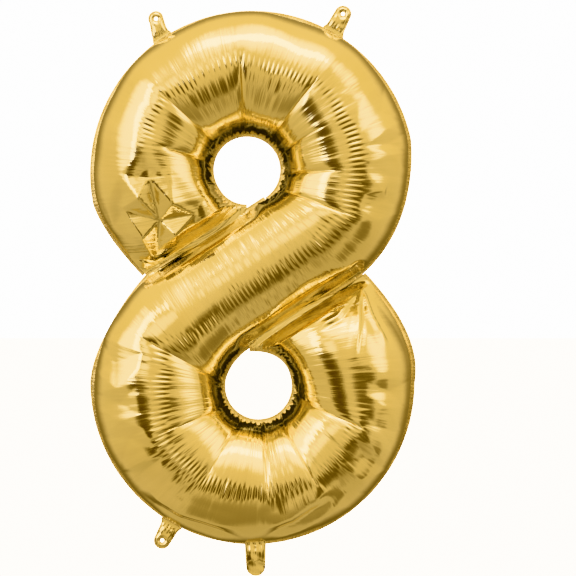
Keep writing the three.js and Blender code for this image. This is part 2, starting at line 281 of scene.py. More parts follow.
def pull_along(x, rest, squeeze, stretch):
    for o in (0, 1):
        n = (x.shape[0] - o) // 2
        pull(x[o:o + 2 * n:2], x[o + 1:o + 1 + 2 * n:2], rest[o:o + 2 * n:2][:n], squeeze, stretch)


def pull_across(x, rest, squeeze, stretch):
    for o in (0, 1):
        n = (x.shape[1] - o) // 2
        from_here, to_next = x[:, o:o + 2 * n:2], x[:, o + 1:o + 1 + 2 * n:2]
        pull(from_here, to_next, rest[:, o:o + 2 * n:2][:, :n], squeeze, stretch)


def pull_shear(x, rest_a, rest_b, k):
    for o in (0, 1):
        n = (x.shape[0] - o) // 2
        pull(x[o:o + 2 * n:2, :-1], x[o + 1:o + 1 + 2 * n:2, 1:], rest_a[o:o + 2 * n:2][:n], k, k)
        pull(x[o:o + 2 * n:2, 1:], x[o + 1:o + 1 + 2 * n:2, :-1], rest_b[o:o + 2 * n:2][:n], k, k)


def resample_even(x):
    """Spaces the points of each rib evenly along it."""
    out = np.empty_like(x)
    for i in range(len(x)):
        s = run_length(x[i])
        w = np.linspace(0, s[-1], x.shape[1])
        for k in range(3):
            out[i, :, k] = np.interp(w, s, x[i, :, k])
    return out


# Where the deep folds of each panel start: round each hole by angle, and how far across the panel they run.
UPPER_FOLDS = [(172, 0.5), (143, 0.62), (115, 0.5), (91, 0.6), (70, 0.45), (52, 0.6), (21, 0.62), (-13, 0.55),
               (-40, 0.62)]
LOWER_FOLDS = [(140, 0.62), (174, 0.58), (209, 0.62), (244, 0.5), (275, 0.62), (310, 0.66), (352, 0.6),
               (25, 0.4)]


def fold_seed(right, left, f):
    """Valleys pressed into the panel before inflation, so that its folds settle where they should."""
    out = np.zeros((len(right), len(f)))
    for loop, edge, folds, flip in ((UPPER, right, UPPER_FOLDS, False), (LOWER, left, LOWER_FOLDS, True)):
        on_hole = np.abs(np.linalg.norm(edge - np.array(loop["hole"]), axis=1) - HOLE_RADIUS) < 9
        angle = np.degrees(np.arctan2(edge[:, 1] - loop["hole"][1], edge[:, 0] - loop["hole"][0]))
        across = 1 - f if flip else f
        for deg, reach in folds:
            off = (angle - deg + 180) % 360 - 180
            ridge = np.exp(-((off / 2.6) ** 2)) * on_hole
            fade = np.clip((reach - across) / 0.15, 0, 1) * np.clip(across / 0.03, 0, 1)
            out -= ridge[:, None] * fade[None]
    return out


def near_end(place):
    return np.clip(1 - from_end(place) / SLACK_REACH, 0, 1)


def flat_tube(right, left, place):
    """The panel before inflation, arched over every rib and lower towards both ends, and its heights."""
    width = np.linalg.norm(right - left, axis=1)
    closing = np.maximum(0, 1 - from_end(place) / END_TAPER)
    height = FULLNESS * width * (1 - closing**2) ** 0.85 / 2
    angle = np.linspace(0, np.pi, SIM_ROWS)
    f = (1 - np.cos(angle)) / 2
    x = np.zeros((SIM_COLUMNS, SIM_ROWS, 3))
    x[..., 0] = right[:, None, 0] * (1 - f) + left[:, None, 0] * f
    x[..., 2] = right[:, None, 1] * (1 - f) + left[:, None, 1] * f
    x[..., 1] = height[:, None] * np.sin(angle)
    return resample_even(x), height


def spare_film(place):
    """Spare film in each link along the tube: most beside the holes, next to none in the outer ring."""
    g = from_hole(np.linspace(0, 1, SIM_ROWS)[None], place)
    plain = 1 - 0.8 * np.exp(-(((place / place[-1] - 0.5) / 0.085) ** 4))[:, None]
    spare = plain * SPARE_AT_HOLE * np.clip(1 - g / 0.72, 0, 1) ** 1.1 + SPARE_IN_RING
    spare = spare + SPARE_AT_END * near_end(place)[:, None] ** 1.5
    return (spare[1:] + spare[:-1]) / 2


def bumpy(x, height, folds, rng):
    """Presses the folds and small random bumps into the panel, so that it crumples as it fills."""
    size = x.shape[:2]
    bumps = noise_grid(rng, size, (size[0] // 7, 5)) * 0.9 + noise_grid(rng, size, (size[0] // 16, 3)) * 1.4
    bumps += noise_grid(rng, size, (size[0] // 3, 9)) * 0.4
    window = np.sin(np.pi * np.linspace(0, 1, SIM_ROWS))[None] ** 0.5 * np.minimum(1, height / 60)[:, None]
    x += grid_normals(x) * (bumps * window + FOLD_DEPTH * folds)[..., None]
    x[..., 1] = np.maximum(x[..., 1], 0)
    x[:, [0, -1], 1] = 0


def inflate(seed):
    """One panel, held along its welds and pushed out by the gas: its points, the place of each rib along the
    tube, and the flat area of its film in square metres."""
    right, left, place = make_ribs(SIM_COLUMNS)
    x, height = flat_tube(right, left, place)
    along, across = (np.linalg.norm(np.diff(x, axis=k), axis=2) for k in (0, 1))
    rest = along * (1 + spare_film(place))
    rest_across = across * (1 + SLACK_ACROSS + SLACK_AT_END * near_end(place))[:, None]
    flat_area = float(((rest[:, 1:] + rest[:, :-1]) * (across[1:] + across[:-1]) / 4).sum()) / 1e6
    slants = [np.linalg.norm(d, axis=2) for d in (x[1:, 1:] - x[:-1, :-1], x[1:, :-1] - x[:-1, 1:])]
    more = ((rest[:, 1:] + rest[:, :-1]) / 2) ** 2 - ((along[:, 1:] + along[:, :-1]) / 2) ** 2
    rest_slants = [np.sqrt(np.maximum(d**2 + more, 1e-6)) for d in slants]

    folds = fold_seed(right, left, np.linspace(0, 1, SIM_ROWS))
    bumpy(x, height, folds, np.random.default_rng(seed))
    held = np.zeros(x.shape[:2], bool)
    held[[0, -1]] = held[:, [0, -1]] = True
    fixed = x[held].copy()
    v = np.zeros_like(x)
    for _ in range(SIM_STEPS):
        v = DAMPING * v + GAS_PUSH * grid_normals(x)
        v *= np.minimum(1, TOP_SPEED / np.maximum(np.linalg.norm(v, axis=2, keepdims=True), 1e-9))
        old = x.copy()
        x = x + v
        for _ in range(2):
            pull_along(x, rest, 0.5, 0.9)
            pull_across(x, rest_across, 0, 0.95)
            pull_shear(x, *rest_slants, 0.3)
        x[1:-1] += STIFFNESS * ((x[:-2] + x[2:]) / 2 - x[1:-1])
        x[:, 1:-1] += STIFFNESS / 2 * ((x[:, :-2] + x[:, 2:]) / 2 - x[:, 1:-1])
        x[..., 1] = np.maximum(x[..., 1], 0)
        x[held] = fixed
        v = x - old

    # Away from the folds and from the hole's edge, the film is pulled smooth along the tube.
    g = from_hole(np.linspace(0, 1, SIM_ROWS)[None], place)
    calm = np.clip((g - 0.14) / 0.08, 0, 1) * (1 - np.clip(-folds, 0, 0.35) / 0.35)
    for _ in range(14):
        x[1:-1] += (0.5 * calm[1:-1])[..., None] * ((x[:-2] + x[2:]) / 2 - x[1:-1])
        x[held] = fixed
    return x, place, flat_area


# ---- The finished skin: the inflated grid made finer, with the crimps that each weld leaves in the film ----

FINE_PLEAT, BROAD_PLEAT, COMB_PLEAT = 7, 19, 7.2  # lengths along the tube


def refine(x):
    """Makes a grid twice as fine along its first axis, by Catmull-Rom interpolation."""
    n = len(x)
    t = np.linspace(0, n - 1, 2 * n - 1)
    i = np.minimum(t.astype(int), n - 2)
    f = (t - i).reshape((-1,) + (1,) * (x.ndim - 1))
    p = [x[np.clip(i + k, 0, n - 1)] for k in (-1, 0, 1, 2)]
    return 0.5 * (2 * p[1] + (p[2] - p[0]) * f + (2 * p[0] - 5 * p[1] + 4 * p[2] - p[3]) * f**2
                  + (3 * p[1] - p[0] - 3 * p[2] + p[3]) * f**3)


def across_film(x):
    """The length across the film from the right edge to each point."""
    steps = np.linalg.norm(np.diff(x, axis=1), axis=2)
    return np.concatenate([np.zeros((len(x), 1)), np.cumsum(steps, 1)], 1)


def ruffles(edge, distance, beside_hole, rng):
    """Fine and broad pleats that stand on a weld, deep beside a hole and faint elsewhere."""
    run = run_length(edge)
    drift = np.cumsum(wander(rng, run, 30, -0.02, 0.02))
    fine = np.sin(2 * np.pi * (run / FINE_PLEAT + drift)) * wander(rng, run, 18, 0.2, 1)
    broad = np.sin(2 * np.pi * (run / BROAD_PLEAT + drift)) * wander(rng, run, 40, 0.2, 1)
    size = 0.12 + 1.3 * beside_hole
    out = (1.3 * size * fine)[:, None] * np.clip(distance / 2, 0, 1) * np.exp(-((distance / 15) ** 2))
    return out + (size * broad)[:, None] * np.clip(distance / 8, 0, 1) * np.exp(-((distance / 38) ** 2))


def comb_of_pleats(f, place, rng):
    """The comb of short pleats that follows the crown of the tube."""
    share = place / place[-1]
    crown = np.interp(share, [0, 0.32, 0.42, 0.58, 0.68, 1], [0.55, 0.55, 0.59, 0.59, 0.45, 0.43])
    crown = (np.arccos(1 - 2 * crown) / np.pi)[:, None]
    outwards = (f - crown) * np.where(share < 0.62, 1, -1)[:, None]
    drift = np.cumsum(wander(rng, place, 45, -0.03, 0.03))
    inner = wander(rng, place, 22, 0.04, 0.09)[:, None]
    outer = wander(rng, place, 17, 0.02, 0.055)[:, None]
    comb = (np.abs(np.sin(np.pi * (place / COMB_PLEAT + drift))) ** 0.7 - 0.7)[:, None]
    comb = comb * (wander(rng, place, 14, 0.3, 1) ** 0.8)[:, None]
    band = np.clip((outwards + inner) / 0.03, 0, 1) * np.clip((outer - outwards) / 0.03, 0, 1)
    return 2.0 * comb * band * np.clip((from_end(place)[:, None] - 150) / 50, 0, 1)


def crimp_relief(x, place, rng):
    """Small pleats at right angles to the tube, and soft wide dents in the taut outer ring."""
    across = across_film(x)
    f = across / across[:, -1:]
    g = from_hole(f, place)
    out = ruffles(x[:, 0], across, 1 - turned(place), rng)
    out += ruffles(x[:, -1], across[:, -1:] - across, turned(place), rng)
    out += comb_of_pleats(f, place, rng)
    dents = noise_grid(rng, x.shape[:2], (70, 5)) * 1.1 + noise_grid(rng, x.shape[:2], (34, 3)) * 1.4
    return out + dents * np.clip((g - 0.58) / 0.15, 0, 1) * np.clip((1 - g) / 0.1, 0, 1)


# Flat facets at the crushed end of the upper loop, as points (x, z, height off the film, how tightly the film is
# pulled to it): a middle, four tips and four ridges round it, in a slack surround.
STAR = [
    (-144, 88, -19, 1),
    (-90, 97, -6, 1), (-152, 24, -2, 1), (-158, 152, -6, 1), (-202, 106, -6, 1),
    (-122, 112, 5, 1), (-119, 64, 5, 1), (-170, 60, 6, 1), (-174, 120, 6, 1),
    (-128, 172, 0, 0), (-74, 124, 0, 0), (-62, 84, 0, 0), (-88, 46, 0, 0), (-124, 14, 0, 0), (-158, 0, 0, 0),
    (-196, 30, 0, 0), (-221, 74, 0, 0), (-228, 116, 0, 0), (-206, 160, 0, 0), (-164, 196, 0, 0),
]
REAR_STAR_STRAY = 11  # how far the rear panel's star differs from the front one's
# Long straight folds: points along the crest, its height, how far the film falls on its right and left, and how
# deep it dips there.
FOLDS = [
    ([(-178, -330), (-154, -352), (-114, -374), (-66, -391), (-6, -406)], -6.0, 13, 36, -4.0),
    ([(16, -404), (66, -381), (134, -334)], -6.0, 13, 36, -4.0),
    ([(172, -10), (188, -60), (212, -112)], 3.4, 10, 10, 2.2),
    ([(170, -12), (166, -66), (158, -128)], 3.4, 11, 11, 2.2),
    ([(166, -16), (134, -60), (96, -82)], 2.8, 9, 12, 2.0),
]
# Shallow facets round the outer ring: loop, first and last angle, how many. Their middle points lie below and
# above the film in turn.
RING_FACETS = [(LOWER, 158, 236, 5), (UPPER, -28, 40, 5), (LOWER, -66, 12, 5)]
RING_RADII, RING_RELIEF = (249, 213, 176), (-3.6, 1.8)


def ring_points(loop, first, last, count, rng):
    """The corners of a row of ring facets, as (x, z, how far each stands off the film)."""
    outer, middle, inner = RING_RADII
    points = []
    for k, deg in enumerate(np.linspace(first, last, 2 * count + 1)):
        bent = middle + rng.uniform(-8, 8)
        lift = 0 if k in (0, 2 * count) else RING_RELIEF[k % 2] * rng.uniform(0.6, 1.2)
        for radius, offset in ((outer, 0), (bent, lift), (inner, 0)):
            points.append((*polar(loop["centre"], radius, deg + rng.uniform(-3, 3)), offset))
    return points


def fold_relief(x):
    """The long straight folds, which fade at both ends."""
    out = np.zeros(x.shape[:2])
    flat = x[..., [0, 2]]
    for crest, height, right, left, dip in FOLDS:
        crest = np.array(crest, float)
        run = run_length(crest)
        off, along = np.full(x.shape[:2], 1e9), np.zeros(x.shape[:2])
        for a, b, start, end in zip(crest[:-1], crest[1:], run[:-1], run[1:]):
            t = np.clip((flat - a) @ (b - a) / ((b - a) @ (b - a)), 0, 1)
            gap = flat - a - t[..., None] * (b - a)
            side = np.sign((b - a)[0] * gap[..., 1] - (b - a)[1] * gap[..., 0])
            distance = side * np.linalg.norm(gap, axis=2)
            nearer = np.abs(distance) < np.abs(off)
            off, along = np.where(nearer, distance, off), np.where(nearer, start + t * (end - start), along)
        fade = smooth_step(np.minimum(along + 4, run[-1] - along) / (0.3 * run[-1]))
        shape = np.interp(off, [-2.2 * right, -right, 0, 0.4 * left, left], [0, -0.4 * dip, height, -dip, 0])
        out += fade * shape
    return out * np.clip(x[..., 1] / 20, 0, 1)


def facets_of(points, creases=()):
    """The facets between points whose first two values are x and z, each as three rows of those points, folded
    along the creases, which are pairs of point numbers."""
    found = delaunay_2d_cdt([Vector(p[:2]) for p in points], list(creases), [], 0, 1e-5)
    rows = np.array([points[origin[0]] for origin in found[3]], float)
    return [rows[list(face)[:3]] for face in found[2]]


def on_facet(flat, facet):
    """Which points lie on a facet, and their weights on its three corners."""
    p, q, r = facet[:, :2]
    w = (flat - p) @ np.linalg.inv(np.array([q - p, r - p]).T).T
    held = (w[..., 0] >= 0) & (w[..., 1] >= 0) & (w.sum(-1) <= 1)
    return held, np.concatenate([1 - w.sum(-1, keepdims=True), w], -1)[held]


def crush_end(x, rng, stray):
    """Pulls the film flat between the points of the star, each of which strays from its drawn place."""
    flat, depth = x[..., [0, 2]].copy(), x[..., 1].copy()
    corners = []
    for px, pz, offset, pull in STAR:
        px, pz = (px, pz) + pull * stray * rng.uniform(-1, 1, 2)
        corners.append((px, pz, offset + depth.flat[np.argmin(np.sum((flat - (px, pz)) ** 2, -1))], pull))
    for facet in facets_of(corners, [(0, k) for k in range(1, 9)]):
        held, w = on_facet(flat, facet)
        pull = np.clip(1.5 * w @ facet[:, 3], 0, 1)
        x[held, 1] += pull * (w @ facet[:, 2] - depth[held])


def facet_relief(x, rng):
    """How far the shallow facets of the outer ring stand off the film."""
    out = np.zeros(x.shape[:2])
    for ring in RING_FACETS:
        for facet in facets_of(ring_points(*ring, rng)):
            held, w = on_facet(x[..., [0, 2]], facet)
            out[held] = w @ facet[:, 2]
    return out * np.clip(x[..., 1] / 25, 0, 1)


# The middle lines of the two waist welds.
WAIST_SEAMS = [(diag(-138, TOP + WAIST_WELD / 2), diag(48, TOP + WAIST_WELD / 2)),
               (diag(-62, BOTTOM - WAIST_WELD / 2), diag(146, BOTTOM - WAIST_WELD / 2))]


def settle_seams(x, rng):
    """Draws the film down beside both waist welds and gathers it into ridges that follow them."""
    flat = x[..., [0, 2]]
    off = np.full(x.shape[:2], 1e9)
    for a, b in WAIST_SEAMS:
        t = np.clip((flat - a) @ (b - a) / ((b - a) @ (b - a)), 0, 1)
        off = np.minimum(off, np.linalg.norm(flat - a - t[..., None] * (b - a), axis=2))
    x[..., 1] *= 0.06 + 0.94 * smooth_step((off - 3.5) / 19)
    ripple = np.sin(off * 1.05 + noise_grid(rng, x.shape[:2], (60, 6)) * 0.6)
    return 0.3 * ripple * np.clip(1 - off / 15, 0, 1) ** 0.7 * np.clip((off - 2.5) / 3, 0, 1)


def skin_mesh(name, side, seed):
    """A panel's skin and the flat area of its film: side is -1 for the front and 1 for the rear."""
    x, place, flat_area = inflate(seed)
    x = np.swapaxes(refine(np.swapaxes(refine(x), 0, 1)), 0, 1)
    place = refine(place)
    rng = np.random.default_rng(seed + 50)
    crush_end(x, np.random.default_rng(seed + 90), 0 if side < 0 else REAR_STAR_STRAY)
    relief = crimp_relief(x, place, rng) + facet_relief(x, rng) + fold_relief(x)
    x += grid_normals(x) * relief[..., None]
    ridges = settle_seams(x, rng)
    x += grid_normals(x) * ridges[..., None]
    x[..., 1] = np.maximum(x[..., 1], 0)
    world = to_row(x[..., 0], side * (x[..., 1] + PLY_FACE), x[..., 2])
    quads = grid_quads(np.arange(x[..., 0].size).reshape(x.shape[:2]))
    mesh = new_mesh(name, world.reshape(-1, 3).tolist(), (quads[:, ::-1] if side < 0 else quads).tolist())
    across = across_film(x)
    middle = np.broadcast_to(run_length(x[:, x.shape[1] // 2])[:, None], across.shape)
    return film_object(name, mesh, np.stack([middle, across], -1).reshape(-1, 2) / 1000), flat_area


# ---- Materials ----

def plug(tree, made, inputs):
    """Links or sets the inputs of a node."""
    for key, value in inputs.items():
        if isinstance(value, bpy.types.NodeSocket):
            tree.links.new(value, made.inputs[key])
        else:
            made.inputs[key].default_value = value


def node(tree, kind, inputs=None, **settings):
    made = tree.nodes.new(kind)
    for key, value in settings.items():
        setattr(made, key, value)
    plug(tree, made, inputs or {})
    return made


def noise(tree, vector, scale, detail, **more):
    inputs = {"Vector": vector, "Scale": scale, "Detail": detail, **more}
    return node(tree, "ShaderNodeTexNoise", inputs).outputs["Fac"]


def on_film(tree, scale_along, scale_across):
    """The place on the flat film, along and across the tube, in metres times these scales."""
    film = node(tree, "ShaderNodeUVMap", uv_map="film").outputs[0]
    scales = (scale_along, scale_across, 1)
    return node(tree, "ShaderNodeMapping", {"Vector": film, "Scale": scales}).outputs[0]


def span(tree, value, low, high, start=0.0, end=1.0):
    """Values from start to end, spread from low to high."""
    return node(tree, "ShaderNodeMapRange", {"Value": value, "From Min": start, "From Max": end,
                                             "To Min": low, "To Max": high}).outputs[0]


def two_tones(tree, value, start, low, end, high):
    ramp = node(tree, "ShaderNodeValToRGB", {"Fac": value})
    for stop, position, color in zip(ramp.color_ramp.elements, (start, end), (low, high)):
        stop.position, stop.color = position, (*color, 1)
    return ramp.outputs[0]


def bumps(tree, *layers):
    """Bump on bump: each layer is (strength, distance, height)."""
    normal = {}
    for strength, distance, height in layers:
        inputs = {"Strength": strength, "Distance": distance, "Height": height, **normal}
        normal = {"Normal": node(tree, "ShaderNodeBump", inputs).outputs[0]}
    return normal["Normal"]


def new_material(name):
    """A material, its node tree, its shader and the place on the object that its patterns follow."""
    material = bpy.data.materials.new(name)
    material.use_nodes = True
    tree = material.node_tree
    return material, tree, tree.nodes["Principled BSDF"], node(tree, "ShaderNodeTexCoord").outputs["Object"]


def gold_film(name, crimp=1.0, roughness=(0.10, 0.17)):
    """Metallised film: fine pleats across the tube, wider soft waves and a faint orange peel."""
    material, tree, shader, place = new_material(name)
    pleats = noise(tree, on_film(tree, 90, 7), 1.0, 2.5, Roughness=0.55)
    waves = noise(tree, on_film(tree, 24, 5), 1.0, 2.0, Roughness=0.5)
    peel = noise(tree, place, 260.0, 2.0)
    tone = noise(tree, place, 9.0, 4.0)
    plug(tree, shader, {
        "Base Color": two_tones(tree, tone, 0.3, (0.88, 0.76, 0.45), 0.7, (0.92, 0.81, 0.52)),
        "Roughness": span(tree, tone, *roughness, 0.3, 0.7),
        "Normal": bumps(tree, (0.5, 0.0022 * crimp, pleats), (0.5, 0.005 * crimp, waves),
                        (0.25, 0.0002, peel)),
        "Metallic": 1.0, "Coat Weight": 0.25, "Coat Roughness": 0.06})
    return material


def seal_film(name, pucker_depth=0.0022, press_depth=0.0006):
    """Heat-sealed film: rougher and a little deeper in colour, with a fine woven press mark and puckers."""
    material, tree, shader, place = new_material(name)
    weave = node(tree, "ShaderNodeTexVoronoi", {"Vector": on_film(tree, 1500, 1500), "Scale": 0.5})
    pucker = noise(tree, place, 150.0, 3.0)
    tone = noise(tree, place, 60.0, 3.0)
    plug(tree, shader, {
        "Base Color": two_tones(tree, tone, 0.3, (0.78, 0.64, 0.36), 0.7, (0.87, 0.74, 0.43)),
        "Roughness": span(tree, pucker, 0.18, 0.36),
        "Normal": bumps(tree, (0.4, press_depth, weave.outputs["Distance"]), (0.6, pucker_depth, pucker)),
        "Metallic": 1.0})
    return material


def clear_film(name):
    """Clear film gone slightly milky, with faint creases and cloudy patches where the two films cling."""
    material, tree, shader, place = new_material(name)
    cloud = noise(tree, place, 70.0, 4.0)
    crease = noise(tree, place, 230.0, 2.0, Distortion=1.5)
    plug(tree, shader, {
        "Base Color": two_tones(tree, cloud, 0.35, (0.86, 0.85, 0.79), 0.7, (0.93, 0.93, 0.9)),
        "Alpha": span(tree, cloud, 0.32, 0.55, 0.3, 0.7),
        "Roughness": span(tree, crease, 0.2, 0.42),
        "Normal": bumps(tree, (0.5, 0.0008, crease))})
    return material


# ---- Hang tabs, neck and welds: thin closed sheets shaped from an outline ----

def edge_distance(points, loop):
    """Distance from each point to a closed outline."""
    best = np.full(len(points), 1e9)
    for a, b in zip(loop, np.roll(loop, -1, axis=0)):
        run = b - a
        t = np.clip(((points - a) @ run) / max(run @ run, 1e-9), 0, 1)
        best = np.minimum(best, np.linalg.norm(points - a - t[:, None] * run, axis=1))
    return best


def inside(points, loop):
    """Which points lie in a closed outline: the ones with an odd number of its sides to their right."""
    odd = np.zeros(len(points), bool)
    for (x0, y0), (x1, y1) in zip(loop, np.roll(loop, -1, axis=0)):
        crosses = (y0 > points[:, 1]) != (y1 > points[:, 1])
        at = x0 + (points[:, 1] - y0) * (x1 - x0) / (y1 - y0 if y1 != y0 else 1e-9)
        odd ^= crosses & (points[:, 0] < at)
    return odd


def fill_outline(loop, hole, step):
    """Points and triangles that fill an outline, with a hole (or None) left open."""
    low, high = loop.min(0), loop.max(0)
    gx, gy = np.meshgrid(np.arange(low[0], high[0], step), np.arange(low[1], high[1], step * 0.866))
    gx = gx + (np.arange(gx.shape[0]) % 2)[:, None] * step / 2
    grid = np.stack([gx.ravel(), gy.ravel()], -1)
    keep = inside(grid, loop) & (edge_distance(grid, loop) > 0.5 * step)
    if hole is not None:
        keep &= ~inside(grid, hole) & (edge_distance(grid, hole) > 0.5 * step)
    rings = [loop] + ([] if hole is None else [hole])
    points, edges, start = list(grid[keep]), [], int(keep.sum())
    for ring in rings:
        n = len(ring)
        edges += [(start + k, start + (k + 1) % n) for k in range(n)]
        points += list(ring)
        start += n
    found = delaunay_2d_cdt([Vector(p) for p in points], edges, [], 0, 1e-5)
    points = np.array([tuple(p) for p in found[0]])
    faces = np.array([f for f in found[2] if len(f) == 3])
    middle = points[faces].mean(1)
    good = inside(middle, loop)
    if hole is not None:
        good &= ~inside(middle, hole)
    return points, faces[good]


def plate_mesh(name, loop, hole, faces_at, place, step, materials, sealed=0.0):
    """A closed thin piece. faces_at gives the depths of its front and rear face at points of the outline's plane,
    and place moves a point (across, outwards, depth) to the row frame in metres. The first material is for the
    middle, and the second for what lies within the distance sealed of an edge."""
    points, faces = fill_outline(loop, hole, step)
    n = len(points)
    both = np.concatenate([np.column_stack([points, depth]) for depth in faces_at(points)])
    a, b, c = (points[faces[:, k]] for k in range(3))
    turned_over = np.cross(b - a, c - a) < 0
    faces[turned_over] = faces[turned_over][:, ::-1]
    edges = np.concatenate([faces[:, [0, 1]], faces[:, [1, 2]], faces[:, [2, 0]]]).tolist()
    have = set(map(tuple, edges))
    rim = [(a, b) for a, b in edges if (b, a) not in have]
    polys = faces[:, ::-1].tolist() + (faces + n).tolist() + [(a, b, b + n, a + n) for a, b in rim]
    mesh = new_mesh(name, place(both).tolist(), polys)
    face_outwards(mesh)
    for material in materials:
        mesh.materials.append(material)
    if sealed:
        inset = edge_distance(points[faces].mean(1), loop)
        if hole is not None:
            inset = np.minimum(inset, edge_distance(points[faces].mean(1), hole) + sealed * 0.45)
        in_seal = np.concatenate([inset < sealed, inset < sealed, np.ones(len(rim), bool)])
        mesh.polygons.foreach_set("material_index", in_seal.astype(np.int32))
    return film_object(name, mesh, both[:, :2] / 1000)


def rooted(loop, deg, clear):
    """The move from a tab's own frame (across, outwards, depth) in millimetres to the row frame in metres."""
    a = math.radians(deg)
    out, side = np.array([math.cos(a), math.sin(a)]), np.array([math.sin(a), -math.cos(a)])
    root = polar(loop["centre"], loop["radius"] + clear, deg)

    def place(p):
        flat = root + p[:, :1] * side + p[:, 1:2] * out
        return to_row(flat[:, 0], p[:, 2], flat[:, 1])

    return place


def bend_at_root(obj, place, start, end):
    """Bakes the piece's placement into its mesh. The points at the two distances from its root are worked out but
    not used.
    """
    start, end = (tuple(place(np.array([[0, y, 0.0]]))[0]) for y in (start, end))
    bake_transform(obj)


def resample_loop(loop, step):
    """The outline with corners kept and long sides cut into steps."""
    out = []
    for a, b in zip(loop, np.roll(loop, -1, axis=0)):
        n = max(1, int(np.linalg.norm(b - a) / step))
        out += [a + (b - a) * k / n for k in range(n)]
    out = np.array(out)
    gap = np.linalg.norm(np.diff(out, axis=0, append=out[:1]), axis=1)
    return out[gap > 0.05]


def add_tab(name, node_name, loop, deg, lean, width, length, seed):
    """A hang tab: a flared root, a puffed tongue that leans to one side, and a round tip with a hole."""
    place = rooted(loop, deg, FLANGE + TAB_BEND / 2)
    flare, tip = width * 0.62, width * 0.46
    top = length - tip
    shift = math.tan(math.radians(lean)) * top
    t = np.linspace(0, 1, 10)
    left = bend((-flare, TAB_BEND / 2), (-width / 2, 5), (shift * 0.35 - width / 2, length * 0.35))(t)
    right = bend((shift * 0.35 + width / 2, length * 0.35), (width / 2, 5), (flare, TAB_BEND / 2))(t)
    turn = np.radians(np.linspace(180, 0, 26))
    cap = np.column_stack([shift + tip * np.cos(turn), top + tip * np.sin(turn)])
    foot = -3.6  # the root reaches this far into the weld
    outline = resample_loop(np.concatenate([[(-flare, foot)], left, cap, right, [(flare, foot)]]), 1.1)
    around = np.radians(np.linspace(0, 360, 24, endpoint=False))
    hole = np.column_stack([shift + TAB_HOLE * np.cos(around), top + TAB_HOLE * np.sin(around)])
    waves = np.random.default_rng(seed).uniform(0, 6.28, 6)

    def faces_at(p):
        inset = np.minimum(edge_distance(p, outline), np.where(p[:, 1] < 3, 0.8, 99))
        inset = np.minimum(inset, np.abs(np.linalg.norm(p - (shift, top), axis=1) - TAB_HOLE) + 1.2)
        puff = 1.9 * smooth_step((inset - 2.6) / 5) * smooth_step((p[:, 1] - 3) / 9)
        x, y = p.T
        pinch = np.sin(x * 1.1 + waves[0] + 0.5 * np.sin(y * 0.3)) * np.exp(-(((y - 5) / 9) ** 2))
        crumple = np.sin(x * 0.42 + y * 0.25 + waves[1]) + np.sin(y * 0.5 - x * 0.3 + waves[2])
        crimp = 0.10 * np.sin(y * 2.6 + waves[3]) * (inset < 2.8)
        mid = (0.4 * pinch + 0.16 * crumple * smooth_step(inset / 5)) * smooth_step((y - 1.5) / 6) + crimp
        thick = 0.22 + 0.33 * smooth_step((2 - y) / 3)
        return mid - thick - puff, mid + thick + 0.8 * puff

    obj = plate_mesh(name, outline, hole, faces_at, place, 1.1, (fine_gold, seal_gold), sealed=2.6)
    bend_at_root(obj, place, -1.4, 1.9)
    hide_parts(node_name)


def neck_half(y):
    """Half the neck's width at a distance from its root: a gentle taper, then a round end."""
    half = NECK["width"] / 2
    round_from = NECK["length"] - half * 0.9
    straight = half * (1 - 0.1 * np.clip(y / round_from, 0, 1))
    past = np.clip((y - round_from) / (half * 0.9), 0, 1)
    return straight * np.sqrt(1 - past**2)


